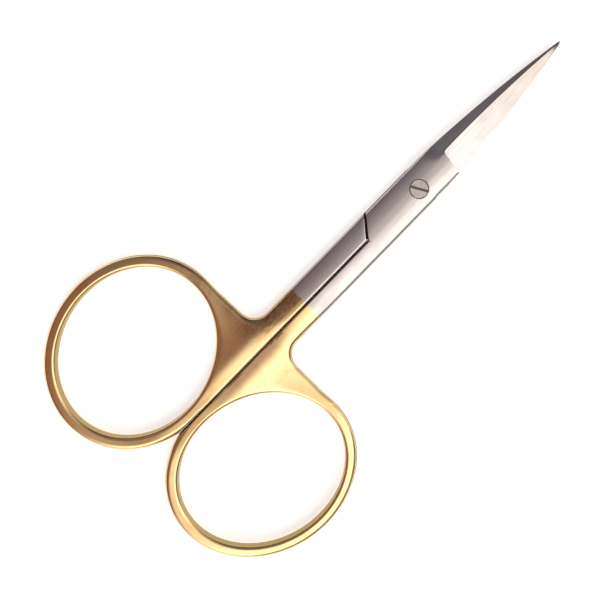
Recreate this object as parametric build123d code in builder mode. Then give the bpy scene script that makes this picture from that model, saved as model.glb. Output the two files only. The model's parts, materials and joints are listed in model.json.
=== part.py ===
from build123d import *
import os
from math import cos, hypot, radians, sin

# Fine-work scissors: two forged halves lapped over each other on one screw.
# +Y runs to the tips, +X to the finger ring of the upper half, +Z up out of the screw head.
# The origin is on the pivot axis, in the plane that the closed scissors lie on. The forging is drawn
# with its parting line at X 0 and then moved, because the screw isn't quite on that line. Sizes in mm.

# --- Driving dimensions -------------------------------------------------------------------
tip_reach = 33.8          # pivot to the tips
joint_width = 6.9         # across the lapped joint and across both closed shanks
thickness = 2.8           # the whole stack, and the rings
leaf_clearance = 0.04     # between the inner faces of the two halves
parting_gap = 0.16        # between the two shanks when closed
pivot_shift = 0.22        # the screw's axis lies this far from the parting line, toward +X

web_front = 34.97        # pivot to the front edge of the webs that carry the rings
valley_radius = 3.0       # plan fillet between shank and web
web_bury = 0.15           # the web's front edge ends this far inside the ring's front

hole_short = 12.3         # finger hole, short semi-axis
hole_long = 14.45         # finger hole, long semi-axis
band_far = 1.95           # ring band on the side away from the other ring
band_near = 2.15          # ring band on the parting side, before the parting face is cut
band_end = 2.05           # ring band at the front and the rear
near_wall = 1.71          # metal left between the finger hole and the parting face
ring_lean = 13.5          # degrees that the rear of each ring leans toward the centre line
ring_drop = 0.0           # ring's front edge behind the web's front edge

edge_radius = 0.8         # rounding of the outer edges
hole_edge_radius = 0.35   # rounding of the finger hole's edges
parting_chamfer = 0.18    # broken edge along the parting faces
crown_land = 1.2          # half-width of the flat land along the middle of each face
crown_drop = 0.3          # how far the crowned face has dropped at the joint's edge
crown_end = 18.0          # the crown is full from the tips back to here
crown_fade = 16.0         # and fades out over this length

shoulder_centre = 12.10   # pivot to the shoulder, on the centre line
shoulder_side = 9.10      # pivot to the shoulder, at the joint's side
shoulder_gap = 0.36       # between a leaf's rear edge and the other half's shoulder
shoulder_radius = 0.5     # rounding of the shoulder's corner
cross_setback = 0.14      # a leaf's edge lies this far inside the joint's width where it crosses

blade_root = 4.0          # pivot to where the blades begin to narrow
choil_start = 0.7         # pivot to the step in front of the joint, on the cutting side
choil_length = 0.9
edge_setback = 0.10       # the cutting edge lies this far inside the joint's width at the root
blade_bulge = 0.45        # sagitta of the long arcs that bound the blade
tip_spine = 0.20          # blade's half-width at the tip, spine side
tip_edge = 0.10           # and cutting side

heel_inner = 7.15         # pivot to the heel of the grind, at the ridge
heel_outer = 6.60         # and at the cutting side
heel_radius = 0.5
ridge_heel_x = 1.15       # ridge line, across from the centre line toward the spine, at the heel
ridge_heel_height = 1.28  # blade thickness on the ridge at the heel
ridge_tip_height = 0.45   # and at the tip
edge_height = 0.45        # thickness left above the cutting edge, beside the heel
spine_height = 0.62       # thickness at the spine, beside the heel

screw_head_radius = 1.55
screw_head_height = 0.64
counterbore_clearance = 0.07   # radial, round the head
head_lift = 0.02          # under the head, so that the upper half runs free
bearing_radius = 1.0      # plain part of the screw, on which the upper half turns
bearing_clearance = 0.03
thread_radius = 0.85      # screwed end, at its pitch line
thread_clearance = 0.02
slot_width = 0.43
slot_depth = 0.32
slot_angle = 29.1         # degrees from +X
head_chamfer = 0.08

# --- Worked out from them ------------------------------------------------------------------
half_width = joint_width / 2
half_gap = parting_gap / 2
inner_face = (thickness + leaf_clearance) / 2       # inner face of the upper leaf
cross_edge = half_width - cross_setback
lean = radians(ring_lean)


def ellipse_reach(across, along):
    """Half-extent in X and in Y of an ellipse that leans by ring_lean."""
    return (
        hypot(across * cos(lean), along * sin(lean)),
        hypot(along * cos(lean), across * sin(lean)),
    )


outer_short = hole_short + (band_far + band_near) / 2
outer_long = hole_long + band_end
hole_x = half_gap + near_wall + ellipse_reach(hole_short, hole_long)[0]
outer_x = hole_x - (band_near - band_far) / 2
ring_reach_y = ellipse_reach(outer_short, outer_long)[1]
ring_y = -(web_front + ring_drop + ring_reach_y)
ring_top_x = outer_x + (outer_long**2 - outer_short**2) * sin(lean) * cos(lean) / ring_reach_y

shoulder_slope = (shoulder_centre - shoulder_side) / half_width
shoulder_step = shoulder_gap * hypot(1, shoulder_slope)   # the gap, measured along Y
valley_y = -(web_front - valley_radius)


def shoulder_y(across):
    """Y of the shoulder line at a distance from the centre line."""
    return -shoulder_centre + shoulder_slope * across


def bulged(start, end, bulge):
    """Middle point of an arc from start to end that stands out by bulge on its right."""
    dx, dy = end[0] - start[0], end[1] - start[1]
    length = hypot(dx, dy)
    return ((start[0] + end[0]) / 2 + bulge * dy / length,
            (start[1] + end[1]) / 2 - bulge * dx / length)


def plane_through(a, b, c):
    """Plane through three points, with its normal upward."""
    normal = (Vector(*b) - Vector(*a)).cross(Vector(*c) - Vector(*a))
    return Plane(origin=a, z_dir=normal if normal.Z > 0 else -normal)


# --- The ring, as a disc with rounded edges -------------------------------------------------
with BuildPart() as ring:
    with BuildSketch():
        with Locations((outer_x, ring_y)):
            Ellipse(outer_short, outer_long, rotation=-ring_lean)
    extrude(amount=thickness)
    fillet(ring.edges().filter_by(GeomType.ELLIPSE), edge_radius)

# --- Shank with its web, full thickness, outer edges rounded --------------------------------
web_tip = (ring_top_x, -(web_front + ring_drop + web_bury))
with BuildPart() as shank:
    with BuildSketch() as shank_plan:
        with BuildLine():
            Line((half_gap, ring_y), (half_gap, shoulder_y(half_gap)))
            Line((half_gap, shoulder_y(half_gap)), (half_width, shoulder_y(half_width)))
            Line((half_width, shoulder_y(half_width)), (half_width, valley_y))
            RadiusArc((half_width, valley_y), (half_width + valley_radius, -web_front), -valley_radius)
            Line((half_width + valley_radius, -web_front), web_tip)
            Line(web_tip, (web_tip[0], ring_y))
            Line((web_tip[0], ring_y), (half_gap, ring_y))
        make_face()
        shoulder_corner = shank_plan.vertices().group_by(Axis.Y)[-2]
        fillet(shoulder_corner, shoulder_radius)
    extrude(amount=thickness)
    rims = shank.faces().filter_by(Axis.Z).edges()
    fillet(rims.filter_by(lambda e: e.center().X > half_width - 0.01
                          and e.center().Y > web_tip[1]), edge_radius)

# --- Leaf: the half-thickness joint and blade -----------------------------------------------
spine_root, spine_tip = (-cross_edge, blade_root), (-tip_spine, tip_reach)
edge_root, edge_tip = (half_width - edge_setback, blade_root), (tip_edge, tip_reach)
leaf_root = -(shoulder_centre + joint_width / 2)
with BuildPart() as leaf:
    with BuildSketch(Plane.XY.offset(inner_face)) as leaf_plan:
        with BuildLine():
            Polyline(
                (-cross_edge, blade_root),
                (-cross_edge, shoulder_y(cross_edge) + shoulder_step),
                (half_gap, shoulder_y(-half_gap) + shoulder_step),
                (half_gap, leaf_root),
                (half_width, leaf_root),
                (half_width, choil_start),
                (half_width - edge_setback, choil_start + choil_length),
                edge_root,
            )
            ThreePointArc(edge_root, bulged(edge_root, edge_tip, blade_bulge), edge_tip)
            Line(edge_tip, spine_tip)
            ThreePointArc(spine_tip, bulged(spine_tip, spine_root, blade_bulge), spine_root)
        make_face()
        inner_corner = leaf_plan.vertices().filter_by(
            lambda v: abs(v.X - half_gap) < 0.01 and v.Y > leaf_root + 0.01)
        fillet(inner_corner, shoulder_radius)
    extrude(amount=thickness - inner_face)

# --- Cutters --------------------------------------------------------------------------------
# The crown: outside the middle land each face falls away along an arc. The cut is full over the
# joint and slides up out of the metal along the shank.
cut_front = tip_reach + 1
crown_rise = crown_drop + 0.05
with BuildPart() as crown_cut:
    with BuildSketch(Plane.XZ.offset(-cut_front)) as crown_profile:
        with BuildLine():
            crown_arc = TangentArc((crown_land, thickness), (half_width, thickness - crown_drop),
                                   tangent=(1, 0))
            Line(crown_arc @ 1, (half_width + 1, thickness - crown_drop))
            Line((half_width + 1, thickness - crown_drop), (half_width + 1, thickness + 1))
            Line((half_width + 1, thickness + 1), (crown_land, thickness + 1))
            Line((crown_land, thickness + 1), (crown_land, thickness))
        make_face()
    extrude(amount=cut_front + crown_end)
    fade = crown_cut.faces().sort_by(Axis.Y)[0]
    extrude(fade, amount=crown_fade, dir=(0, -crown_fade, crown_rise))
    mirror(about=Plane.YZ)
    mirror(about=Plane.XY.offset(thickness / 2))

# Rounding of the long edges of the joint and the leaf, which runs out where the blade narrows.
with BuildPart() as edge_cut:
    with BuildSketch(Plane.XZ.offset(-cut_front)):
        with Locations((half_width - edge_radius / 2 + 0.5, thickness - edge_radius / 2 + 0.5)):
            Rectangle(edge_radius + 1, edge_radius + 1)
        with Locations((half_width - edge_radius, thickness - edge_radius)):
            Circle(edge_radius, mode=Mode.SUBTRACT)
    extrude(amount=cut_front - valley_y)
    mirror(about=Plane.YZ)

# The ground bevel on the cutting side, and the bevel that falls from the ridge to the spine.
ridge_heel = (-ridge_heel_x, heel_inner, inner_face + ridge_heel_height)
ridge_tip = (0, tip_reach, inner_face + ridge_tip_height)
edge_plane = plane_through(ridge_heel, ridge_tip,
                           (half_width - edge_setback, heel_inner, inner_face + edge_height))
spine_plane = plane_through(ridge_heel, ridge_tip, (-cross_edge, heel_inner, inner_face + spine_height))
with BuildPart() as grind_cut:
    with BuildSketch() as grind_plan:
        with BuildLine():
            Polyline(
                (-ridge_heel_x, heel_inner),
                (half_width + 1, heel_outer),
                (half_width + 1, cut_front),
                (0, cut_front),
                (0, tip_reach),
                close=True,
            )
        make_face()
        fillet(grind_plan.vertices().sort_by(Axis.X)[0], heel_radius)
    extrude(amount=2 * thickness)
    split(bisect_by=edge_plane, keep=Keep.TOP)

with BuildPart() as spine_cut:
    with BuildSketch():
        with Locations((0, cut_front / 2)):
            Rectangle(2 * joint_width, cut_front)
    extrude(amount=2 * thickness)
    split(bisect_by=spine_plane, keep=Keep.TOP)

# --- One forging, in the upper half's place -------------------------------------------------
rear = ring_y - outer_long
with BuildPart() as forging:
    add(shank.part)
    add(ring.part)
    add(leaf.part)
    # Nothing crosses the parting plane behind the shoulder.
    with BuildSketch():
        with Locations((half_gap, leaf_root)):
            Rectangle(outer_short, leaf_root - rear + 1, align=(Align.MAX, Align.MAX))
    extrude(amount=thickness, mode=Mode.SUBTRACT)
    # The finger hole.
    with BuildSketch():
        with Locations((hole_x, ring_y)):
            Ellipse(hole_short, hole_long, rotation=-ring_lean)
    extrude(amount=thickness, mode=Mode.SUBTRACT)
    hole_rims = forging.edges().filter_by(GeomType.ELLIPSE).filter_by(
        lambda e: e.length > 2 * hole_long and e.is_closed)
    fillet(hole_rims, hole_edge_radius)
    add(crown_cut.part, mode=Mode.SUBTRACT)
    add(edge_cut.part, mode=Mode.SUBTRACT)
    add(spine_cut.part, mode=Mode.SUBTRACT)
    add(grind_cut.part, mode=Mode.SUBTRACT)
    # Broken edges along the parting face.
    with BuildSketch(Plane.XZ.offset(shoulder_centre + shoulder_radius)):
        with Locations((half_gap, thickness), (half_gap, 0)):
            Rectangle(parting_chamfer * 2 ** 0.5, parting_chamfer * 2 ** 0.5, rotation=45)
    extrude(amount=-rear - shoulder_centre, mode=Mode.SUBTRACT)

off_centre = Location((-pivot_shift, 0, 0))

# --- Upper half: turns on the plain part of the screw ---------------------------------------
with BuildPart() as front_half:
    add(forging.part.moved(off_centre))
    with Locations((0, 0, thickness)):
        CounterBoreHole(bearing_radius + bearing_clearance,
                        screw_head_radius + counterbore_clearance,
                        screw_head_height + 2 * head_lift)
front_half.part.label = "front_half"

# --- Lower half: the same forging turned over, with the screwed hole ------------------------
with BuildPart() as back_half:
    turned = Axis((0, 0, thickness / 2), (0, 1, 0))
    add(forging.part.rotate(turned, 180).moved(off_centre))
    Hole(thread_radius + thread_clearance)
back_half.part.label = "back_half"

# --- Pivot screw ----------------------------------------------------------------------------
head_top = thickness - head_lift
seat = thickness - inner_face                        # the lower half's inner face
with BuildPart() as pivot_screw:
    with BuildSketch():
        Circle(thread_radius)
    extrude(amount=seat)
    with BuildSketch(Plane.XY.offset(seat)):
        Circle(bearing_radius)
    extrude(amount=head_top - screw_head_height - seat)
    with BuildSketch(Plane.XY.offset(head_top - screw_head_height)):
        Circle(screw_head_radius)
    extrude(amount=screw_head_height)
    chamfer(pivot_screw.edges().filter_by(GeomType.CIRCLE).sort_by(Axis.Z)[-1], head_chamfer)
    with BuildSketch(Plane.XY.offset(head_top)):
        Rectangle(3 * screw_head_radius, slot_width, rotation=slot_angle)
    extrude(amount=-slot_depth, mode=Mode.SUBTRACT)
pivot_screw.part.label = "pivot_screw"

os.makedirs("parts", exist_ok=True)
export_step(front_half.part, "parts/front_half.step")
export_step(back_half.part, "parts/back_half.step")
export_step(pivot_screw.part, "parts/pivot_screw.step")
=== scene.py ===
"""Looks of small ringed scissors: two satin steel halves with gold-plated finger rings on one slotted screw.

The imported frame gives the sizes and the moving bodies. Each half is one closed shell, worked out with numpy from a
plan outline and a height function, and it stands for its CAD node. The pivot screw keeps its CAD shape.
"""

import json
import logging
import math
from dataclasses import dataclass, field, replace
from enum import Enum
from typing import Any, Callable, ClassVar

import bmesh
import bpy
import numpy as np
from mathutils import Matrix, Vector

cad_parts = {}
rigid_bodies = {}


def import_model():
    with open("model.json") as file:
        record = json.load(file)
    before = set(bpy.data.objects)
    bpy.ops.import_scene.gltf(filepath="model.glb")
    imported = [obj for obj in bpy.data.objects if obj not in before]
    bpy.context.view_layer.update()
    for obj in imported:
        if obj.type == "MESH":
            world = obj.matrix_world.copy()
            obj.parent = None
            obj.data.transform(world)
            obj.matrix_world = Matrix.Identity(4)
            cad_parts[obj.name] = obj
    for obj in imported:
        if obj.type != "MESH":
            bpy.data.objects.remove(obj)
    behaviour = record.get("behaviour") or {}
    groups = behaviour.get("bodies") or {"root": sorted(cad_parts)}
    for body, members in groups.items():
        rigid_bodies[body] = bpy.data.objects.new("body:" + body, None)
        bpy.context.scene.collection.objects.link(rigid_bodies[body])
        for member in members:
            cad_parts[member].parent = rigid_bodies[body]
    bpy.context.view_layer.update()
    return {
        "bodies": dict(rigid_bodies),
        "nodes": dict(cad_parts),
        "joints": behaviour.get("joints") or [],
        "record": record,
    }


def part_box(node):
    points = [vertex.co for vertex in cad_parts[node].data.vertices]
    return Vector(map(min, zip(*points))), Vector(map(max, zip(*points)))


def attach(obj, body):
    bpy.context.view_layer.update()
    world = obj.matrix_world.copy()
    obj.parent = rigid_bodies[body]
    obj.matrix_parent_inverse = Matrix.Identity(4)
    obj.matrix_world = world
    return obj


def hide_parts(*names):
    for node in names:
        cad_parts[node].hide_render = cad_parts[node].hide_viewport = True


LOG = logging.getLogger("scissors")
MM = 0.001
# the upper half's edge along the parting line is broken more steeply, and its web falls less toward the line
STEEP_BEVEL = {"bevel_slope": 1.1, "bevel_width": 0.30, "groove_slope": 0.05}
Array = np.ndarray
Colour = tuple[float, float, float]
# material slots of a half: the faces, and the walls between the halves and in the screw's hole, which are painted
# dark as shade
FACES, SHADED_WALLS = 0, 1
SHARP_ANGLE = math.radians(32)


# --- Small pieces of arithmetic that the surfaces share ---


def smoothstep(low: float, high: float, value: Array) -> Array:
    """Goes from 0 at low to 1 at high along 3t^2 - 2t^3."""
    t = np.clip((np.asarray(value, float) - low) / (high - low), 0, 1)
    return t * t * (3 - 2 * t)


def edge_drop(distance: Array, radius: Array) -> Array:
    """How far a rounded edge has fallen: the radius less the height of its quarter circle at that distance."""
    inside = np.clip(radius - np.maximum(distance, 0), 0, None)
    return radius - np.sqrt(np.maximum(radius * radius - inside * inside, 0))


def soft_max(a: Array, b: Array, width: float) -> Array:
    """The larger of two fields, with a parabola of the given width where they cross."""
    gap = np.maximum(width - np.abs(a - b), 0)
    return np.maximum(a, b) + gap * gap / (4 * width)


def soft_min(a: Array, b: Array, width: float) -> Array:
    """The smaller of two fields, with a parabola of the given width where they cross."""
    return -soft_max(-a, -b, width)


def stations(*runs: tuple[float, float, int]) -> Array:
    """Joins evenly divided runs end to end.

    Args:
        runs: (start, end, number of cells) of each run, each starting where the last one ended.

    Returns:
        The rising or falling row of values.
    """
    parts = [np.linspace(start, end, cells + 1)[:-1] for start, end, cells in runs]
    return np.concatenate(parts + [np.array([runs[-1][1]])])


@dataclass
class Shell:
    """Collects patches of quads and welds them into one closed mesh."""

    points: list[Array] = field(default_factory=list)
    faces: list[Array] = field(default_factory=list)
    slots: list[Array] = field(default_factory=list)
    count: int = 0
    TOUCHING: ClassVar = 0.0008

    def add(self, grid: Array, keep: Array | None = None, slot: int = FACES) -> None:
        """Adds a grid of points as quads.

        Args:
            grid: points of shape (rows, columns, 3), in millimetres.
            keep: which cells to keep, of shape (rows - 1, columns - 1). All of them without it.
            slot: number of the material slot of these faces.
        """
        rows, columns = grid.shape[:2]
        index = np.arange(rows * columns).reshape(rows, columns) + self.count
        quads = np.stack([index[:-1, :-1], index[:-1, 1:], index[1:, 1:], index[1:, :-1]], axis=-1)
        self.faces.append(quads[keep] if keep is not None else quads.reshape(-1, 4))
        self.slots.append(np.full(len(self.faces[-1]), slot))
        self.points.append(grid.reshape(-1, 3))
        self.count += rows * columns

    def between(self, *loops: Array, slot: int = FACES) -> None:
        """Adds the wall that joins lines of points of the same length, one after another."""
        self.add(np.stack(loops), slot=slot)

    def weld(self, name: str, place: Callable[[Array], Array]) -> bpy.types.Object:
        """Merges points that coincide, turns the faces outward and makes the object.

        Args:
            name: the object's name.
            place: carries the points from the drawing to their place, in millimetres.

        Returns:
            The linked object, with its place in its mesh.
        """
        drawn = np.concatenate(self.points)
        quads = np.concatenate(self.faces)
        _, first, where = np.unique(np.round(drawn, 4), axis=0, return_index=True, return_inverse=True)
        quads = where.reshape(-1)[quads]
        points = place(drawn[first]) * MM
        mesh = bpy.data.meshes.new(name)
        mesh.from_pydata(points.tolist(), [], quads.tolist())
        mesh.polygons.foreach_set("material_index", np.concatenate(self.slots))
        work = bmesh.new()
        work.from_mesh(mesh)
        bmesh.ops.remove_doubles(work, verts=work.verts[:], dist=self.TOUCHING * MM)
        bmesh.ops.dissolve_degenerate(work, dist=1e-8, edges=work.edges[:])
        bmesh.ops.recalc_face_normals(work, faces=work.faces[:])
        open_edges = sum(1 for edge in work.edges if len(edge.link_faces) != 2)
        LOG.info("%s: %d faces, %d open edges", name, len(work.faces), open_edges)
        work.to_mesh(mesh)
        work.free()
        mesh.shade_smooth()
        mesh.set_sharp_from_angle(angle=SHARP_ANGLE)
        piece = bpy.data.objects.new(name, mesh)
        bpy.context.scene.collection.objects.link(piece)
        return piece


# --- One forging: blade, lapped joint, shank, web and finger ring ---


class Half(Enum):
    """Which of the two halves a forging becomes."""

    FRONT = "front_half"
    BACK = "back_half"


@dataclass
class Ellipse:
    """An ellipse in the plan, leaning so that its rear end is nearer to the centre line."""

    x: float
    y: float
    short: float
    long: float
    lean: float

    def local(self, x: Array, y: Array) -> tuple[Array, Array]:
        """A point in the ellipse's own axes, short one first."""
        c, s = math.cos(self.lean), math.sin(self.lean)
        return (x - self.x) * c - (y - self.y) * s, (x - self.x) * s + (y - self.y) * c

    def depth(self, x: Array, y: Array) -> Array:
        """Distance inside the ellipse, negative outside: (1 - F) over the slope of F, where F is the radius share."""
        u, v = self.local(x, y)
        share = np.sqrt((u / self.short) ** 2 + (v / self.long) ** 2) + 1e-9
        slope = np.sqrt((u / self.short**2) ** 2 + (v / self.long**2) ** 2) / share + 1e-9
        return (1 - share) / slope

    def ray(self, x: float, y: float, dx: Array, dy: Array) -> Array:
        """How far along a ray from (x, y) it leaves the ellipse, from the quadratic's larger root."""
        u, v = self.local(np.asarray(x), np.asarray(y))
        du, dv = self.local(dx + self.x, dy + self.y)
        a = (du / self.short) ** 2 + (dv / self.long) ** 2
        b = u * du / self.short**2 + v * dv / self.long**2
        c = (u / self.short) ** 2 + (v / self.long) ** 2 - 1
        return (-b + np.sqrt(b * b - a * c)) / a


@dataclass
class Forging:
    """One half of the scissors, drawn in the place of the upper half. Sizes in millimetres.

    The plan is X across from the parting line and Y along from the pivot, which lies pivot_shift to the right of
    the parting line. The tip, rear, near side and far side are where the CAD's half ends, from the pivot. Heights
    are over the middle plane between the two halves.
    """

    tip: float
    half_thickness: float
    rear: float
    near: float
    side: float
    pivot_shift: float = 0.22
    inner: float = 0.02
    half_gap: float = 0.08
    cross_setback: float = 0.14
    # rings and webs
    web_front: float = 34.97
    valley: float = 3.0
    web_slope: float = 0.0175
    ring_front: float = 34.97
    band_end: float = 2.05
    band_far: float = 1.95
    band_near: float = 2.15
    near_wall: float = 1.71
    lean: float = math.radians(13.5)
    cut_line: float = -34.2
    # rounded and broken edges, and the stretches where one rounding turns into the next
    hole_round: float = 0.60
    outer_round: float = 0.80
    joint_round: float = 0.55
    blade_round: float = 0.34
    parting_round: float = 0.06
    ring_to_joint: tuple[float, float] = (-32.0, -22.0)
    joint_to_blade: tuple[float, float] = (2.0, 9.0)
    bevel_width: float = 0.20
    bevel_slope: float = 0.24
    # fall of the rings and webs: a bell, a slope toward the parting line, and a lean of the bands
    web_crown: float = 0.6
    web_flat: float = 1.4
    web_bell: float = 3.0
    web_fade: tuple[float, float] = (-40.0, -50.0)
    web_fade_share: float = 0.6
    groove_slope: float = 0.09
    groove_soft: float = 0.35
    groove_start: float = -0.5
    groove_front: tuple[float, float] = (-27.0, -24.0)
    groove_rear: tuple[float, float] = (-44.0, -52.0)
    groove_rear_share: float = 0.75
    band_slope: float = 0.07
    band_reach: float = 2.6
    band_from: tuple[float, float] = (5.0, 15.0)
    # joint
    crown_land: float = 0.1
    crown_drop: float = 0.42
    crown_end: float = -29.0
    crown_gone: float = -36.0
    shoulder: float = -12.0
    leaf_edge: float = -11.66
    diagonal: float = 0.87
    corner_round: float = 0.22
    patch: float = 2.6
    # blade
    root: float = 4.0
    choil: tuple[float, float] = (0.7, 1.6)
    edge_setback: float = 0.10
    bulge: float = 0.45
    tip_spine: float = 0.20
    tip_edge: float = 0.10
    heel_inner: float = 7.15
    heel_outer: float = 6.60
    heel_corner: float = 0.5
    ridge_heel: float = -1.15
    ridge_bulge: float = 0.36
    ridge_height: tuple[float, float] = (1.30, 0.46)
    edge_height: tuple[float, float] = (0.46, 0.30)
    spine_height: tuple[float, float] = (0.62, 0.30)
    ridge_soft: float = 0.04
    hollow: float = 0.10
    hollow_from: tuple[float, float] = (8.0, 14.0)
    hollow_end: float = 10.0
    run_out: float = 0.16
    run_out_back: float = 0.6
    # screw's seat: radii from the pivot, and the head's depth
    counterbore: float = 1.62
    counterbore_rim: float = 1.66
    seat_middle: float = 1.3
    running_hole: float = 1.03
    screwed_hole: float = 0.87
    screwed_rim: float = 0.93
    head_depth: float = 0.68

    # how much the groove's width changes, from and to which Y
    GROOVE_STEPS: ClassVar = ((2.2, -29.0, -36.5), (-1.2, -41.0, -52.0), (0.8, -26.0, -31.0))
    # shares of the way across, close together at edges
    RIGHT_NEAR: ClassVar = (0, 0.008, 0.02, 0.036, 0.056, 0.08, 0.14, 0.24, 0.38, 0.54, 0.7, 0.85, 1)
    RIGHT_FAR: ClassVar = (0, 0.17, 0.33, 0.49, 0.62, 0.73, 0.83, 0.91, 0.967, 1)
    LEFT_NEAR: ClassVar = (0, 0.011, 0.034, 0.075, 0.17, 0.3, 0.45, 0.6, 0.75, 0.88, 1)
    LEFT_FAR: ClassVar = (0, 0.21, 0.39, 0.55, 0.68, 0.8, 0.89, 0.96, 1)

    def __post_init__(self) -> None:
        """Works out the ring's two ellipses from the outline of the whole half."""
        c, s = math.cos(self.lean), math.sin(self.lean)
        band = (self.band_near + self.band_far) / 2
        self.half_width = -self.near - self.pivot_shift + self.cross_setback
        side = self.side + self.pivot_shift
        reach_x = (side - self.half_gap - self.near_wall + self.band_near) / 2
        reach_y = (-self.rear - self.ring_front) / 2
        # reach_x^2 = (short c)^2 + (long s)^2 and reach_y^2 = (long c)^2 + (short s)^2, solved for the semi-axes
        short = math.sqrt((reach_x**2 * c * c - reach_y**2 * s * s) / (c**4 - s**4))
        long = math.sqrt((reach_y**2 * c * c - reach_x**2 * s * s) / (c**4 - s**4))
        self.outer = Ellipse(side - reach_x, -self.ring_front - reach_y, short, long, self.lean)
        self.hole = Ellipse(self.outer.x + (self.band_near - self.band_far) / 2, self.outer.y,
                            short - band, long - self.band_end, self.lean)
        self.ring_top_x = self.outer.x + (long**2 - short**2) * s * c / reach_y
        self.cross_edge = self.half_width - self.cross_setback
        self.heel_row = (self.heel_inner + self.heel_outer) / 2

    # --- outlines in the plan ---

    def right_edge(self, y: Array) -> Array:
        """The half's own side: the valley's arc, the straight shank, the choil's step, then a long shallow arc."""
        valley_x = self.half_width + self.valley
        below = np.clip(-self.web_front + self.valley - y, 0, self.valley)
        arc = valley_x - np.sqrt(self.valley**2 - below**2)
        step = self.edge_setback * smoothstep(*self.choil, y)
        start = self.half_width - self.edge_setback
        t = np.clip((y - self.root) / (self.tip - self.root), 0, 1)
        blade = start + (self.tip_edge - start) * t + self.bulge * 4 * t * (1 - t)
        return np.where(y < self.choil[0], arc, np.where(y < self.root, self.half_width - step, blade))

    def left_edge(self, y: Array) -> Array:
        """The crossing side: straight beside the joint, then a long shallow arc to the tip. X is negative."""
        t = np.clip((y - self.root) / (self.tip - self.root), 0, 1)
        return -(self.cross_edge + (self.tip_spine - self.cross_edge) * t + self.bulge * 4 * t * (1 - t))

    def ridge(self, y: Array) -> Array:
        """The line between the two faces of the blade, bowed toward the spine."""
        t = np.clip((y - self.heel_inner) / (self.tip - self.heel_inner), 0, 1)
        return self.ridge_heel * (1 - t) - self.ridge_bulge * 4 * t * (1 - t)

    def middle_column(self, y: Array) -> Array:
        """The grid line that both sides of the leaf share: the parting line, then the ridge."""
        share = smoothstep(self.patch + 0.2, self.heel_inner, y)
        return self.half_gap * (1 - share) + self.ridge(y) * share

    def heel(self, x: Array) -> Array:
        """Y of the grind's heel: a straight line across the blade that turns forward along an arc at the ridge."""
        share = (x - self.ridge_heel) / (self.half_width - self.ridge_heel)
        line = self.heel_inner + (self.heel_outer - self.heel_inner) * share
        return line + edge_drop(x - self.ridge_heel, np.array(self.heel_corner))

    def sheared(self, x: Array, base: Array) -> Array:
        """Y of a row: level rows are tilted along the shoulder's diagonal near it, and bent along the heel near that.

        The diagonal is the root of (x^2 + e^2) less e, which rounds it off at the parting line.
        """
        near = smoothstep(-19, self.shoulder - 0.15, base)
        near = near * (1 - smoothstep(self.leaf_edge + 0.15, -self.patch, base))
        across = np.sqrt((x - self.half_gap) ** 2 + self.corner_round**2) - self.corner_round
        bend = smoothstep(3, self.heel_row, base) * (1 - smoothstep(self.heel_row + 0.2, 13, base))
        return base + near * self.diagonal * across + bend * (self.heel(x) - self.heel_row)

    # --- heights ---

    def outline_depth(self, x: Array, y: Array) -> Array:
        """Distance inside the outer outline of shank, web and ring.

        The open corner beside the shank is a quadrant grown by the valley's radius, so the distance to it is the
        distance to the quadrant less the radius. The ring is an ellipse, and the deeper of the two holds.
        """
        corner_x = self.half_width + self.valley
        corner_y = -self.web_front + self.valley - self.web_slope * np.maximum(x - corner_x, 0)
        void = np.hypot(np.maximum(corner_x - x, 0), np.maximum(corner_y - y, 0)) - self.valley
        web = np.minimum(void, np.minimum(self.ring_top_x - x, y - self.outer.y))
        return soft_max(web, self.outer.depth(x, y), 0.5)

    def crown(self, x: Array, y: Array) -> Array:
        """How far the crowned face has dropped.

        Across the joint and the shank it is a parabola outside the middle land. Over the web that becomes a wide
        bell, and beside the parting line each half falls toward it by a constant slope, over a width that grows from
        the shank to the web and shrinks again along the rings. The rings' outer parts fall a little outward.
        """
        across = np.abs(x)
        share = np.clip((across - self.crown_land) / (self.half_width - self.crown_land), 0, 1.1)
        bell = self.web_crown * (1 - 1 / (1 + (np.maximum(across - self.web_flat, 0) / self.web_bell) ** 2))
        plain = smoothstep(self.crown_gone, self.crown_end, y)
        web = (1 - plain) * (1 - self.web_fade_share * smoothstep(*self.web_fade, y))
        width = self.groove_start + sum(step * smoothstep(start, end, y) for step, start, end in self.GROOVE_STEPS)
        inside = width - across
        groove = self.groove_slope * (np.sqrt(inside**2 + self.groove_soft**2) + inside) / 2
        groove = groove * (1 - smoothstep(*self.groove_front, y))
        groove = groove * (1 - self.groove_rear_share * smoothstep(*self.groove_rear, y))
        outward = np.clip(-self.hole.depth(x, y), 0, self.band_reach) * smoothstep(*self.band_from, across)
        return self.crown_drop * share * share * plain + bell * web + groove + self.band_slope * outward

    def broken(self, distance: Array) -> Array:
        """Fall of the broken edge along the parting line: a straight bevel that ends in a small rounding."""
        bevel = self.bevel_slope * np.maximum(self.bevel_width - np.maximum(distance, 0), 0)
        return bevel + edge_drop(distance, np.array(self.parting_round))

    def body_height(self, x: Array, y: Array) -> Array:
        """Height of the full-thickness part: half the thickness less the crown and the rounding of each edge."""
        share = 1 - smoothstep(*self.ring_to_joint, y)
        rounding = self.joint_round + (self.outer_round - self.joint_round) * share
        drop = self.crown(x, y) + edge_drop(self.outline_depth(x, y), rounding)
        drop = drop + edge_drop(-self.hole.depth(x, y), np.array(self.hole_round))
        parted = (1 - smoothstep(self.shoulder - 0.1, self.leaf_edge, y)) * (x >= self.half_gap - 1e-6)
        return self.half_thickness - drop - self.broken(x - self.half_gap) * parted

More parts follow.
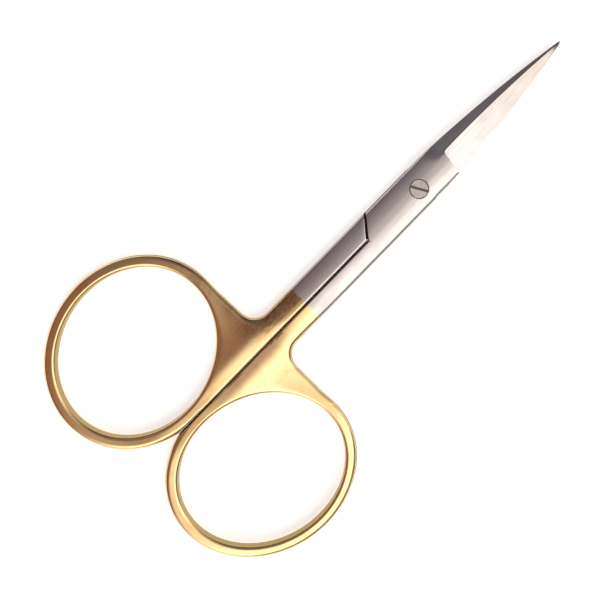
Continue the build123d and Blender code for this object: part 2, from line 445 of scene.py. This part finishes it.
    def leaf_height(self, x: Array, y: Array, ground: Array) -> Array:
        """Height of the leaf's outer face.

        The joint is crowned with rounded edges. The blade is the lower of that and two ruled faces that meet on the
        ridge: one falls to the spine, the other, only where it is ground, falls to the cutting edge.

        Args:
            x: across, in millimetres.
            y: along, in millimetres.
            ground: whether each point is in front of the grind's heel.

        Returns:
            Heights over the middle plane.
        """
        right, left, ridge = self.right_edge(y), self.left_edge(y), self.middle_column(y)
        share = smoothstep(*self.joint_to_blade, y)
        rounding = self.joint_round + (self.blade_round - self.joint_round) * share
        drop = self.crown(x, y) + edge_drop(right - x, rounding) + edge_drop(x - left, rounding)
        crowned = self.half_thickness - drop
        t = (y - self.heel_inner) / (self.tip - self.heel_inner)
        ridge_h, spine_h, edge_h = (
            heel + (tip - heel) * t for heel, tip in (self.ridge_height, self.spine_height, self.edge_height)
        )
        to_spine = (ridge - x) / np.maximum(ridge - left, 0.05)
        to_edge = (x - ridge) / np.maximum(right - ridge, 0.05)
        spine_face = ridge_h + (spine_h - ridge_h) * to_spine
        spine_face = spine_face + self.run_out * np.maximum(self.heel_inner - self.run_out_back - y, 0)
        edge_face = ridge_h + (edge_h - ridge_h) * to_edge
        shaped = soft_min(crowned, spine_face, self.ridge_soft)
        return np.where(ground & (x >= ridge - 1e-6), np.minimum(shaped, edge_face), shaped)

    def inner_height(self, x: Array, y: Array) -> Array:
        """Height of the leaf's inner face, with a shallow hollow along the blade that leaves its edges standing."""
        right, left = self.right_edge(y), self.left_edge(y)
        share = np.clip((2 * x - right - left) / np.maximum(right - left, 0.2), -1, 1)
        along = smoothstep(*self.hollow_from, y) * (1 - 0.8 * smoothstep(self.tip - self.hollow_end, self.tip, y))
        return self.inner + self.hollow * along * (1 - share**2) ** 2

    # --- grids ---

    def rows(self) -> Array:
        """Base Y of every row from the cut line to the tip, close together at edges."""
        return stations(
            (self.cut_line, -31.9, 9), (-31.9, -19, 16), (-19, self.shoulder - 0.3, 10),
            (self.shoulder - 0.3, self.shoulder - 0.12, 2), (self.shoulder - 0.12, self.shoulder, 4),
            (self.shoulder, self.leaf_edge, 3), (self.leaf_edge, self.leaf_edge + 0.12, 3),
            (self.leaf_edge + 0.12, -self.patch, 13), (-self.patch, self.patch, 20),
            (self.patch, self.heel_row - 0.05, 10), (self.heel_row - 0.05, self.heel_row, 1),
            (self.heel_row, self.tip - 2, 44), (self.tip - 2, self.tip, 8),
        )

    @staticmethod
    def spread(start: Array, bend: Array, end: Array, near: tuple, far: tuple) -> Array:
        """X from start to bend by the near shares, then on to end by the far ones."""
        first = np.array(near + (1,) * (len(far) - 1))
        second = np.array((0,) * len(near) + far[1:])
        return start + (bend - start) * first + (end - bend) * second

    def right_columns(self, y: Array, base: Array) -> Array:
        """X of the right-hand grid: from the shared column to the screw's patch, then on to the half's own side."""
        start, end = self.middle_column(y), self.right_edge(y)
        share = (self.patch - self.half_gap) / (self.half_width - self.edge_setback - self.half_gap)
        bend = np.where(base <= self.patch, self.patch, start + (end - start) * share)
        bend = np.where(base < self.valley - self.web_front, end - (self.half_width - self.patch), bend)
        return self.spread(start, bend, end, self.RIGHT_NEAR, self.RIGHT_FAR)

    def left_columns(self, y: Array, base: Array) -> Array:
        """X of the left-hand grid: from the shared column to the screw's patch, then on to the crossing side."""
        start, end = self.middle_column(y), self.left_edge(y)
        share = (self.patch + self.half_gap) / (self.cross_edge + self.half_gap)
        bend = np.where(base <= self.patch, -self.patch, start + (end - start) * share)
        return self.spread(start, bend, end, self.LEFT_NEAR, self.LEFT_FAR)

    def grid(self, columns: Callable[[Array, Array], Array], base: Array) -> tuple[Array, Array]:
        """Plan positions of a block, settled in three rounds because the sides depend on Y and Y on the place across.

        Args:
            columns: gives X of every point from its Y and its row's base Y.
            base: base Y of each row.

        Returns:
            X and Y, each of shape (rows, columns).
        """
        base = base[:, None]
        x = columns(base, base)
        y = self.sheared(x, base)
        for _ in range(2):
            x = columns(y, base)
            y = self.sheared(x, base)
        return x, y

    def ring_outline(self, cut: Array) -> Array:
        """The outer outline round the ring, from the cut line's inner end clockwise and back to it.

        Along the web and the ring it is the larger of two radii from the hole's centre: to the web's straight
        front edge and to the ring's ellipse.

        Args:
            cut: X of the points along the cut line.

        Returns:
            Points of shape (count, 2), the last one on the first.
        """
        across = np.stack([cut, np.full_like(cut, self.cut_line)], axis=1)
        centre = np.array([self.half_width + self.valley, -self.web_front + self.valley])
        start = math.atan2(self.cut_line - centre[1], cut[-1] - centre[0])
        turn = np.linspace(start, -math.pi / 2, 11)[1:]
        arc = centre + self.valley * np.stack([np.cos(turn), np.sin(turn)], axis=1)
        cx, cy = self.hole.x, self.hole.y
        first = math.atan2(arc[-1, 1] - cy, arc[-1, 0] - cx)
        angle = np.linspace(first, -math.pi * 0.97, 700)[1:]
        dx, dy = np.cos(angle), np.sin(angle)
        to_ring = self.outer.ray(cx, cy, dx, dy)
        web_y = -self.web_front - cy - self.web_slope * (cx - centre[0])
        to_web = np.where(dy > 0.3, web_y / np.maximum(dy + self.web_slope * dx, 0.3), 0)
        to_web = np.where(cx + to_web * dx < self.ring_top_x, to_web, 0)
        radius = soft_max(to_ring, to_web, 0.25)
        band = np.stack([cx + radius * dx, cy + radius * dy], axis=1)
        rear = (band[:, 0] < self.half_gap) & (dy < 0)
        band = band[: int(np.argmax(rear))]
        along = np.linspace(band[-1, 1], self.cut_line, 44)[1:, None]
        parting = np.concatenate([np.full_like(along, self.half_gap), along], axis=1)
        keep = np.concatenate([band[:-1:2], band[-1:]])
        keep[-1, 0] = self.half_gap
        return np.concatenate([across, arc, keep, parting])

    def ring_grid(self, cut: Array) -> tuple[Array, Array]:
        """Radial grid from the finger hole's edge to the outline, close together at both edges."""
        outline = self.ring_outline(cut)
        dx, dy = outline[:, 0] - self.hole.x, outline[:, 1] - self.hole.y
        length = np.hypot(dx, dy)
        dx, dy = dx / length, dy / length
        start = self.hole.ray(self.hole.x, self.hole.y, dx, dy)
        width = (length - start)[:, None]
        inner = np.array([0, 0.015, 0.05, 0.1, 0.17, 0.26, 0.38])
        outer = np.array([0.85, 0.7, 0.55, 0.42, 0.3, 0.2, 0.11, 0.05, 0.015, 0])
        stretch = np.clip(width / 2.6, 1, 2.2)
        first, last = inner + 0 * width, width - outer * stretch
        share = np.linspace(0, 1, 9)[1:-1]
        middle = first[:, -1:] * (1 - share) + last[:, :1] * share
        away = start[:, None] + np.concatenate([first, middle, last], axis=1)
        return self.hole.x + away * dx[:, None], self.hole.y + away * dy[:, None]

    # --- the shell ---

    @staticmethod
    def lift(x: Array, y: Array, z: Array | float) -> Array:
        """Stacks X, Y and Z into points."""
        return np.stack([x, y, np.broadcast_to(z, x.shape)], axis=-1)

    def side_wall(self, shell: Shell, top: Array, bottom: Array, slot: int = FACES) -> None:
        """Adds an upright wall from a top line down to the inner face's height, and on down to a bottom line."""
        middle = top.copy()
        middle[:, 2] = self.inner
        shell.between(top, (top + middle) / 2, middle, (middle + bottom) / 2, bottom, slot=slot)

    def build_ring(self, shell: Shell, cut: Array) -> None:
        """Adds the ring and web: both faces, the wall of the finger hole and the outer wall."""
        x, y = self.ring_grid(cut)
        height = self.body_height(x, y)
        top, bottom = self.lift(x, y, height), self.lift(x, y, -height)
        shell.add(top)
        shell.add(bottom)
        shell.between(top[:, 0], (top[:, 0] + bottom[:, 0]) / 2, bottom[:, 0])
        parted = int(np.argmax(x[len(cut):, -1] < self.half_gap + 1e-6)) + len(cut)
        for lines, slot in ((slice(len(cut) - 1, parted + 1), FACES), (slice(parted, None), SHADED_WALLS)):
            self.side_wall(shell, top[lines, -1], bottom[lines, -1], slot)

    def build_seat(self, shell: Shell, half: Half, top: Array, bottom: Array) -> None:
        """Fills the square patch round the pivot, with the screw's hole in it.

        Every line from the patch's border runs straight at the pivot and ends on the hole's circle.

        Args:
            shell: what the faces are added to.
            half: the upper half has a counterbore and a running hole, the lower half a screwed hole.
            top: the patch's border on the outer face, in order round it.
            bottom: the same border on the inner face.
        """
        upper = half is Half.FRONT
        pivot = np.array([self.pivot_shift if upper else -self.pivot_shift, 0])
        away = top[:, :2] - pivot
        ring = away / np.linalg.norm(away, axis=1, keepdims=True)
        share = np.array([1, 0.8, 0.55, 0.3, 0.14, 0.05, 0])[:, None, None]

        def spread(border: Array, radius: float) -> Array:
            """Points from the border to a circle of that radius."""
            return border[None, :, :2] * share + (pivot + ring[None] * radius) * (1 - share)

        def circle(radius: float, height: float) -> Array:
            """One turn round the pivot."""
            return self.lift(pivot[0] + ring[:, 0] * radius, ring[:, 1] * radius, height)

        rim = self.counterbore_rim if upper else self.screwed_rim
        bore = self.running_hole if upper else self.screwed_hole
        face = spread(top, rim)
        face = self.lift(face[..., 0], face[..., 1],
                         self.leaf_height(face[..., 0], face[..., 1], np.zeros(face.shape[:2], bool)))
        shell.add(face)
        edge = face[-1]
        if upper:
            floor = self.half_thickness - self.head_depth
            lowered = circle(self.counterbore, 0)
            lowered[:, 2] = edge[:, 2] - 0.04
            shell.between(edge, lowered)
            shell.between(lowered, circle(self.counterbore, floor + 0.2), circle(self.counterbore, floor),
                          circle(self.seat_middle, floor), circle(bore, floor), circle(bore, self.inner), slot=SHADED_WALLS)
        else:
            shell.between(edge, circle(bore, edge[0, 2] - 0.06), circle(bore, 0.6), circle(bore, self.inner),
                          slot=SHADED_WALLS)
        under = spread(bottom, bore)
        shell.add(self.lift(under[..., 0], under[..., 1], self.inner))

    def build(self, half: Half) -> bpy.types.Object:
        """Builds one half as a closed shell.

        Args:
            half: the upper half as drawn, or the lower one, turned over about the long axis.

        Returns:
            The half's object.
        """
        shell = Shell()
        base = self.rows()
        shoulder = int(np.argmin(np.abs(base - self.shoulder)))
        leaf_row = int(np.argmin(np.abs(base - self.leaf_edge)))
        low, high = (int(np.argmin(np.abs(base - y))) for y in (-self.patch, self.patch))
        ground = base[:, None] >= self.heel_row - 1e-6

        # right-hand side: the shank and its side of the leaf
        x, y = self.grid(self.right_columns, base)
        top_z = np.where((base < self.leaf_edge - 1e-6)[:, None], self.body_height(x, y),
                         self.leaf_height(x, y, ground))
        top = self.lift(x, y, top_z)
        inner = self.lift(x, y, self.inner_height(x, y))
        back_off = self.broken((self.shoulder - base[:, None]) / math.hypot(1, self.diagonal))
        bottom = self.lift(x, y, -self.body_height(x, y) + back_off)
        seat = len(self.RIGHT_NEAR) - 1
        cells = np.ones((len(base) - 1, x.shape[1] - 1), bool)
        cells[low:high, :seat] = False
        shell.add(top, cells)
        shell.add(inner[shoulder:], cells[shoulder:])
        shell.add(bottom[: shoulder + 1])
        self.side_wall(shell, top[: shoulder + 1, -1], bottom[: shoulder + 1, -1])
        self.side_wall(shell, top[: shoulder + 1, 0], bottom[: shoulder + 1, 0], SHADED_WALLS)
        step = slice(shoulder, leaf_row + 1)
        for line, other, slot in ((bottom[shoulder], inner[shoulder], SHADED_WALLS),
                                  (top[shoulder:, -1], inner[shoulder:, -1], FACES),
                                  (top[step, 0], inner[step, 0], SHADED_WALLS), (top[-1], inner[-1], FACES)):
            shell.between(line, (line + other) / 2, other, slot=slot)

        # left-hand side: the leaf where it crosses over
        xl, yl = self.grid(self.left_columns, base[leaf_row:])
        fall = edge_drop(base[leaf_row:, None] - self.leaf_edge, np.array(0.1))
        fall = fall * np.clip((self.half_gap - xl) / 0.3, 0, 1)
        left = self.lift(xl, yl, self.leaf_height(xl, yl, ground[leaf_row:]) - fall)
        under = self.lift(xl, yl, self.inner_height(xl, yl))
        left_seat = len(self.LEFT_NEAR) - 1
        cells = np.ones((len(base) - leaf_row - 1, xl.shape[1] - 1), bool)
        cells[low - leaf_row : high - leaf_row, :left_seat] = False
        shell.add(left, cells)
        shell.add(under, cells)
        for line, other, slot in ((left[:, -1], under[:, -1], FACES), (left[0], under[0], SHADED_WALLS),
                                  (left[-1], under[-1], FACES)):
            shell.between(line, (line + other) / 2, other, slot=slot)

        # screw's patch
        a, b = low - leaf_row, high - leaf_row

        def border(right: Array, crossing: Array) -> Array:
            """The patch's border, counterclockwise from its lower left corner and back to it."""
            return np.concatenate([
                crossing[a, left_seat::-1], right[low, 1 : seat + 1], right[low + 1 : high + 1, seat],
                right[high, seat - 1 :: -1], crossing[b, 1 : left_seat + 1],
                crossing[a : b, left_seat][::-1],
            ])

        self.build_seat(shell, half, border(top, left), border(inner, under))
        self.build_ring(shell, x[0])

        turn = np.array([1, 1, 1] if half is Half.FRONT else [-1, 1, -1])
        place = np.array([-self.pivot_shift, 0, self.half_thickness])
        return shell.weld(half.value + "_forged", lambda points: points * turn + place)


# --- Shader nodes as expressions ---


class Value:
    """A socket that carries numbers, on which arithmetic adds Math nodes."""

    def __init__(self, kit: "NodeKit", socket: bpy.types.NodeSocket) -> None:
        """Wraps a socket.

        Args:
            kit: the material's node maker.
            socket: the output that carries the numbers.
        """
        self.kit = kit
        self.socket = socket

    def _math(self, operation: str, *values: "Value | float", clamp: bool = False) -> "Value":
        """One Math node on these values."""
        node = self.kit.node("ShaderNodeMath", {"operation": operation, "use_clamp": clamp}, dict(enumerate(values)))
        return Value(self.kit, node.outputs[0])

    def __add__(self, other: "Value | float") -> "Value":
        """Sum."""
        return self._math("ADD", self, other)

    __radd__ = __add__

    def __sub__(self, other: "Value | float") -> "Value":
        """Difference."""
        return self._math("SUBTRACT", self, other)

    def __rsub__(self, other: float) -> "Value":
        """Difference from a number."""
        return self._math("SUBTRACT", other, self)

    def __mul__(self, other: "Value | float") -> "Value":
        """Product."""
        return self._math("MULTIPLY", self, other)

    __rmul__ = __mul__

    def __abs__(self) -> "Value":
        """Size without its sign."""
        return self._math("ABSOLUTE", self)

    def above(self, low: float, high: float) -> "Value":
        """0 below low, 1 above high, smooth between."""
        node = self.kit.node("ShaderNodeMapRange", {"interpolation_type": "SMOOTHSTEP"},
                             {"Value": self, "From Min": low, "From Max": high})
        return Value(self.kit, node.outputs[0])

    def clamped(self) -> "Value":
        """Held between 0 and 1."""
        return self._math("ADD", self, 0.0, clamp=True)


Link = Value | bpy.types.NodeSocket | float | tuple


class NodeKit:
    """Makes the nodes of one material or world."""

    def __init__(self, tree: bpy.types.NodeTree) -> None:
        """Starts on an empty tree.

        Args:
            tree: the node tree, which is cleared.
        """
        self.tree = tree
        tree.nodes.clear()

    def node(self, kind: str, settings: dict[str, Any], inputs: dict[str | int, Link]) -> bpy.types.Node:
        """Adds a node.

        Args:
            kind: the node's type name.
            settings: its properties, set first. "stops" fills a colour ramp with (place, colour) pairs.
            inputs: a value or a link for each socket, by name or number.

        Returns:
            The node.
        """
        node = self.tree.nodes.new(kind)
        for name, value in settings.items():
            if name == "stops":
                ramp = node.color_ramp
                while len(ramp.elements) < len(value):
                    ramp.elements.new(0.5)
                for element, (place, colour) in zip(ramp.elements, value):
                    element.position, element.color = place, (*colour, 1)
            else:
                setattr(node, name, value)
        for name, value in inputs.items():
            socket = node.inputs[name]
            if isinstance(value, Value):
                self.tree.links.new(value.socket, socket)
            elif isinstance(value, bpy.types.NodeSocket):
                self.tree.links.new(value, socket)
            elif isinstance(value, tuple) and len(value) == 3 and len(socket.default_value) == 4:
                socket.default_value = (*value, 1)
            else:
                socket.default_value = value
        return node

    def place(self, stretch: tuple[float, float, float] = (1, 1, 1)) -> bpy.types.NodeSocket:
        """Object coordinates, stretched along each axis."""
        where = self.node("ShaderNodeTexCoord", {}, {}).outputs["Object"]
        return self.node("ShaderNodeMapping", {}, {"Vector": where, "Scale": stretch}).outputs[0]

    def axes(self) -> tuple[Value, Value, Value]:
        """X, Y and Z of Object coordinates, in millimetres."""
        where = self.place((1 / MM, 1 / MM, 1 / MM))
        split = self.node("ShaderNodeSeparateXYZ", {}, {0: where})
        return tuple(Value(self, out) for out in split.outputs)

    def facing(self) -> Value:
        """How squarely the surface faces up or down, from 0 on a wall to 1."""
        normal = self.node("ShaderNodeNewGeometry", {}, {}).outputs["Normal"]
        return abs(Value(self, self.node("ShaderNodeSeparateXYZ", {}, {0: normal}).outputs["Z"]))

    def noise(self, scale: float, detail: float = 3, stretch: tuple[float, float, float] = (1, 1, 1),
              rough: float = 0.5) -> Value:
        """Noise from 0 to 1.

        Args:
            scale: features per metre.
            detail: octaves.
            stretch: how much the pattern is squeezed along each axis.
            rough: weight of the finer octaves.

        Returns:
            The noise.
        """
        node = self.node("ShaderNodeTexNoise", {}, {"Vector": self.place(stretch), "Scale": scale,
                                                    "Detail": detail, "Roughness": rough})
        return Value(self, node.outputs[0])

    def mix(self, share: Link, first: Link, second: Link) -> bpy.types.NodeSocket:
        """Goes from the first colour to the second as share goes from 0 to 1."""
        node = self.node("ShaderNodeMix", {"data_type": "RGBA"}, {0: share, 6: first, 7: second})
        return node.outputs[2]

    def bump(self, height: Value, strength: float, depth: float,
             over: bpy.types.NodeSocket | None = None) -> bpy.types.NodeSocket:
        """A normal bent by a height, on top of another one if it is given."""
        inputs: dict[str | int, Link] = {"Height": height, "Strength": strength, "Distance": depth}
        if over is not None:
            inputs["Normal"] = over
        return self.node("ShaderNodeBump", {}, inputs).outputs[0]


# --- Finishes ---


def material(name: str) -> tuple[bpy.types.Material, NodeKit]:
    """A new material and its node maker."""
    made = bpy.data.materials.new(name)
    made.use_nodes = True
    return made, NodeKit(made.node_tree)


def surface(kit: NodeKit, constants: dict[str, float], inputs: dict[str | int, Link]) -> None:
    """Ends a material in a Principled shader.

    Args:
        kit: the material's node maker.
        constants: what is the same all over, set on the shader's own sockets.
        inputs: what varies.
    """
    shader = kit.node("ShaderNodeBsdfPrincipled", {}, {**constants, **inputs})
    kit.node("ShaderNodeOutputMaterial", {}, {"Surface": shader.outputs[0]})


@dataclass(frozen=True)
class PlatedSteel:
    """Satin steel in front, gold plating behind a slightly ragged line across the shanks.

    The walls, which no polishing wheel reaches, are duller than the faces, and are painted darker as shade.
    """

    name: str
    plating_ends: float = -26.4
    ragged: float = 0.7
    ragged_fine: float = 0.3
    wall_turn: tuple[float, float] = (0.30, 0.72)
    steel: Colour = (0.72, 0.685, 0.67)
    steel_dull: Colour = (0.54, 0.48, 0.485)
    steel_warm: Colour = (0.60, 0.50, 0.44)
    steel_wall_shade: Colour = (0.27, 0.25, 0.25)
    # painted shade for the lap's flat inside the shoulder's gap
    steel_lap_shade: Colour = (0.07, 0.06, 0.055)
    warm_from: tuple[float, float] = (9.0, 32.0)
    lap_height: float = 1.4
    lap_front: float = -8.6
    gold: Colour = (0.94, 0.69, 0.36)
    gold_deep: Colour = (0.80, 0.46, 0.20)
    gold_wall_shade: Colour = (0.42, 0.30, 0.11)
    # partly tarnish, partly painted reflection of the dim left of the room
    tarnish_and_dark_reflection: Colour = (0.36, 0.19, 0.09)
    smudge: Colour = (0.30, 0.21, 0.11)
    rubbed: tuple[tuple[float, ...], ...] = ((-4.3, -36.6, 2.8, 2.6), (-1.9, -27.0, 1.3, 1.8))
    tarnish_reflection_side: float = -0.95
    tarnish_reflection_rear: float = -36.5
    steel_rough: float = 0.27
    gold_rough: float = 0.20
    wall_rough: float = 0.12
    scratch_depth: float = 0.00002
    grain_depth: float = 0.00004

    def make(self) -> bpy.types.Material:
        """Builds the material.

        Returns:
            The material, ready for a half.
        """
        made, kit = material(self.name)
        across, along, height = kit.axes()
        ragged = (kit.noise(900, 4) - 0.5) * self.ragged + (kit.noise(4200, 2) - 0.5) * self.ragged_fine
        plated = (self.plating_ends - along + ragged).above(-0.10, 0.10)
        # painted shade: where the surface turns from up or down into a wall, its colour is painted darker; the walls
        # are also rougher
        shaded_dull_wall = 1 - kit.facing().above(*self.wall_turn)
        # patterns: streaks and bands along the length, clouds, specks, stains and fine scratches
        streaks = kit.noise(5200, 4, (1, 0.03, 1), 0.6)
        bands = kit.noise(1300, 3, (1, 0.03, 1), 0.5)
        cloud = kit.noise(420, 4, (1, 0.55, 1), 0.6)
        speck = kit.noise(3800, 2, (1, 0.7, 1)).above(0.72, 0.80)
        stain = kit.noise(300, 5, (1, 1, 1), 0.6)
        scratch = kit.noise(3400, 5, (1, 0.3, 1), 0.75)
        # steel: dulled in bands, warmer toward the tips, and painted darker on the walls as shade
        dulled = (cloud + bands * 1.2 + streaks * 0.6 - 1.0 + speck * 0.5).clamped()
        steel = kit.mix(dulled, self.steel, self.steel_dull)
        steel = kit.mix(along.above(*self.warm_from) * 0.6, steel, self.steel_warm)
        steel = kit.mix(shaded_dull_wall, steel, self.steel_wall_shade)
        # the flat of the lap, where it shows through the shoulder's gap, is painted near black as the shade in the
        # gap
        lap_shade = (1 - abs(height - self.lap_height).above(0.06, 0.20)) * (1 - shaded_dull_wall)
        steel = kit.mix(lap_shade * (self.lap_front - along).above(0, 0.4), steel, self.steel_lap_shade)
        # gold: deeper in stains, rubbed in the corner beside the shank and under the line, browner on the left as
        # tarnish and painted dark reflection
        gold = kit.mix((stain.above(0.45, 0.75) * 0.55).clamped(), self.gold, self.gold_deep)
        corner, collar = (
            (1 - abs(across - x).above(0.2, wide)) * (1 - abs(along - y).above(0.2, tall))
            for x, y, wide, tall in self.rubbed
        )
        rubbed = (corner + collar) * (scratch.above(0.30, 0.70) * 0.8 + stain * 0.4 - 0.2)
        gold = kit.mix((rubbed * 0.75).clamped(), gold, self.smudge)
        # browner on the left: partly tarnish, partly painted dark reflection
        left = (self.tarnish_reflection_side - across).above(0.0, 0.45) * (along - self.tarnish_reflection_rear).above(-3.0, 3.5)
        gold = kit.mix((left * (scratch.above(0.35, 0.65) * 0.45 + stain * 0.9)).clamped(), gold, self.tarnish_and_dark_reflection)
        # painted shade: the gold walls are painted darker
        gold = kit.mix(shaded_dull_wall, gold, self.gold_wall_shade)
        steel_rough = self.steel_rough + (streaks - 0.5) * 0.16 + (cloud - 0.5) * 0.12
        gold_rough = self.gold_rough + (stain - 0.5) * 0.12 + (scratch - 0.5) * 0.10
        fine = kit.bump(streaks, 0.10, self.scratch_depth)
        surface(kit, {"Metallic": 1.0}, {
            "Base Color": kit.mix(plated, steel, gold),
            "Roughness": steel_rough + (gold_rough - steel_rough) * plated + shaded_dull_wall * self.wall_rough,
            "Normal": kit.bump(kit.noise(2600, 5, (1, 1, 1), 0.65), 0.10, self.grain_depth, fine),
        })
        return made


@dataclass(frozen=True)
class GapShadeSteel:
    """The unpolished walls between the halves, dull, and painted near black as the shade in the gaps between the
    parts.
    """

    name: str
    # painted shade: this near-black colour stands for the shade between the halves
    colour: Colour = (0.055, 0.045, 0.04)

    def make(self) -> bpy.types.Material:
        """Builds the material."""
        made, kit = material(self.name)
        surface(kit, {"Metallic": 1.0}, {"Base Color": self.colour, "Roughness": 0.4 + kit.noise(1800, 4) * 0.2})
        return made


@dataclass(frozen=True)
class TurnedSteel:
    """The screw's plain turned steel, with rings left by the tool, darker smudges, and painted shade in the slot and
    on everything lower.
    """

    name: str
    slot_above: float = 2.68
    rings_per_mm: float = 42.0 / math.tau
    ring_depth: float = 0.00002
    steel: Colour = (0.66, 0.61, 0.59)
    # painted shade for the slot and all of the screw below its top edge
    smudge: Colour = (0.42, 0.36, 0.34)
    slot: Colour = (0.16, 0.14, 0.13)

    def make(self) -> bpy.types.Material:
        """Builds the material."""
        made, kit = material(self.name)
        across, along, height = kit.axes()
        flat = kit.node("ShaderNodeCombineXYZ", {}, {0: across, 1: along}).outputs[0]
        radius = Value(kit, kit.node("ShaderNodeVectorMath", {"operation": "LENGTH"}, {0: flat}).outputs["Value"])
        turns = radius * (self.rings_per_mm * math.tau)
        rings = Value(kit, kit.node("ShaderNodeMath", {"operation": "SINE"}, {0: turns}).outputs[0])
        cloud = kit.noise(1500, 4)
        face = kit.mix(cloud.above(0.45, 0.75) * 0.6, self.steel, self.smudge)
        surface(kit, {"Metallic": 1.0}, {
            # painted shade: all below the slot's top edge takes the dark colour
            "Base Color": kit.mix(height.above(self.slot_above - 0.03, self.slot_above + 0.03), self.slot, face),
            "Roughness": 0.30 + (cloud - 0.5) * 0.2,
            "Normal": kit.bump(rings, 0.08, self.ring_depth),
        })
        return made


@dataclass(frozen=True)
class PaleFloor:
    """A plain white sheet under the object."""

    name: str = "pale_floor"
    shade: float = 0.92
    glow: float = 0.6

    def make(self) -> bpy.types.Material:
        """Builds the material."""
        made, kit = material(self.name)
        surface(kit, {"Roughness": 0.9, "Specular IOR Level": 0.1, "Emission Strength": self.glow},
                {"Base Color": (self.shade,) * 3, "Emission Color": (1.0, 1.0, 1.0)})
        return made


# --- Sub-assemblies ---


@dataclass
class PlatedHalf:
    """One half: its forged shell and its plated steel."""

    half: Half
    body: str
    slot: str

    def build(self, forging: Forging) -> bpy.types.Object:
        """Makes the half, dresses it and hangs it on its body.

        Args:
            forging: the shape that both halves share.

        Returns:
            The half's object.
        """
        piece = forging.build(self.half)
        piece.data.materials.append(PlatedSteel(self.half.value + "_plated_steel").make())
        # second slot: the walls between the halves, painted dark as shade
        piece.data.materials.append(GapShadeSteel(self.half.value + "_dull_steel").make())
        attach(piece, self.body)
        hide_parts(self.half.value)
        return piece


@dataclass
class PivotScrew:
    """The slotted screw, which keeps its CAD shape."""

    node: str = "pivot_screw"

    def dress(self, frame: dict[str, Any]) -> bpy.types.Object:
        """Gives the screw its turned steel.


        Returns:
            The screw's object.
        """
        screw = frame["nodes"][self.node]
        screw.data.materials.clear()
        screw.data.materials.append(TurnedSteel("turned_steel").make())
        return screw


@dataclass
class Studio:
    """Floor, surroundings and camera."""

    look_at: tuple[float, float, float] = (2.93, -22.54, 2.75)
    distance: float = 115.0
    view_width: float = 98.48
    turn: float = math.radians(44.23)
    tilt: float = math.radians(4.95)
    shift: float = -0.06
    sensor: float = 36.0
    sight: tuple[float, float] = (0.005, 10.0)
    floor_size: float = 3.0
    floor_drop: float = 0.00005
    sky_power: float = 1.7
    rose: Colour = (0.16, 0.085, 0.065)

    # sky colour from the left horizon, over the top, to the right horizon
    SKY: ClassVar = (
        (0.0, (0.11, 0.11, 0.12)), (0.21, (0.12, 0.12, 0.13)), (0.33, (0.10, 0.085, 0.10)),
        (0.37, (0.13, 0.11, 0.125)), (0.44, (0.28, 0.245, 0.25)), (0.50, (0.35, 0.315, 0.305)),
        (0.545, (0.44, 0.40, 0.375)), (0.587, (0.62, 0.57, 0.525)), (0.63, (0.97, 0.93, 0.87)),
        (0.75, (1.0, 0.98, 0.92)), (0.80, (0.7, 0.67, 0.63)), (0.84, (0.15, 0.145, 0.15)), (1.0, (0.11, 0.11, 0.115)),
    )

    def floor(self) -> None:
        """Lays the floor in the plane that the object lies on."""
        half = self.floor_size / 2
        mesh = bpy.data.meshes.new("floor")
        mesh.from_pydata([(-half, -half, 0), (half, -half, 0), (half, half, 0), (-half, half, 0)], [], [(0, 1, 2, 3)])
        sheet = bpy.data.objects.new("floor", mesh)
        sheet.location.z = -self.floor_drop
        bpy.context.scene.collection.objects.link(sheet)
        mesh.materials.append(PaleFloor().make())

    def surroundings(self) -> None:
        """A room that is dim and rosy on the left and bright and warm on the right."""
        world = bpy.data.worlds.new("studio")
        world.use_nodes = True
        bpy.context.scene.world = world
        kit = NodeKit(world.node_tree)
        direction = kit.node("ShaderNodeTexCoord", {}, {}).outputs["Generated"]
        split = kit.node("ShaderNodeSeparateXYZ", {}, {0: direction})
        across, along, up = (Value(kit, out) for out in split.outputs)
        ramp = kit.node("ShaderNodeValToRGB", {"stops": self.SKY}, {0: across * 0.5 + 0.5})
        rosy = (-1 * along).above(0.0, 0.07) * (-1 * across).above(-0.04, 0.12)
        colour = kit.mix(rosy * 0.85, ramp.outputs[0], self.rose)
        strength = (0.3 + up.above(0.1, 0.55) * 0.7) * (1.0 - along.above(0.3, 0.6) * 0.35) * self.sky_power
        strength = strength * (1.0 + across.above(0.27, 0.42) * 0.28)
        glow = kit.node("ShaderNodeBackground", {}, {"Color": colour, "Strength": strength})
        kit.node("ShaderNodeOutputWorld", {}, {"Surface": glow.outputs[0]})

    def camera(self) -> None:
        """Hangs the camera over the object, turned so that the blades point up and to the right.

        It stands a little to the left of upright over the middle, so that the left ring is the nearer one.
        """
        lens = bpy.data.cameras.new("camera")
        lens.sensor_width = self.sensor
        lens.lens = self.sensor * self.distance / self.view_width
        lens.shift_x = self.shift
        lens.clip_start, lens.clip_end = self.sight
        eye = bpy.data.objects.new("camera", lens)
        lean = Matrix.Rotation(-self.tilt, 4, "Y")
        eye.location = (Vector(self.look_at) + lean @ Vector((0, 0, self.distance))) * MM
        eye.rotation_euler = (lean @ Matrix.Rotation(self.turn, 4, "Z")).to_euler()
        bpy.context.scene.collection.objects.link(eye)
        bpy.context.scene.camera = eye

    def build(self) -> None:
        """Sets up everything round the object."""
        self.floor()
        self.surroundings()
        self.camera()
        bpy.context.scene.view_settings.view_transform = "Standard"


def main() -> None:
    """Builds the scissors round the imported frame."""
    logging.basicConfig(level=logging.INFO, format="%(name)s: %(message)s")
    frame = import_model()
    low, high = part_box(Half.FRONT.value)
    forging = Forging(tip=high.y / MM, half_thickness=(high.z - low.z) / 2 / MM, rear=low.y / MM, near=low.x / MM,
                      side=high.x / MM)
    steep = replace(forging, **STEEP_BEVEL)
    for half, shape in ((PlatedHalf(Half.FRONT, "front", "front_steel"), steep),
                        (PlatedHalf(Half.BACK, "back", "back_steel"), forging)):
        piece = half.build(shape)
        LOG.info("%s rides on %s", piece.name, half.body)
    LOG.info("%s dressed", PivotScrew().dress(frame).name)
    Studio().build()


if __name__ == "__main__":
    main()
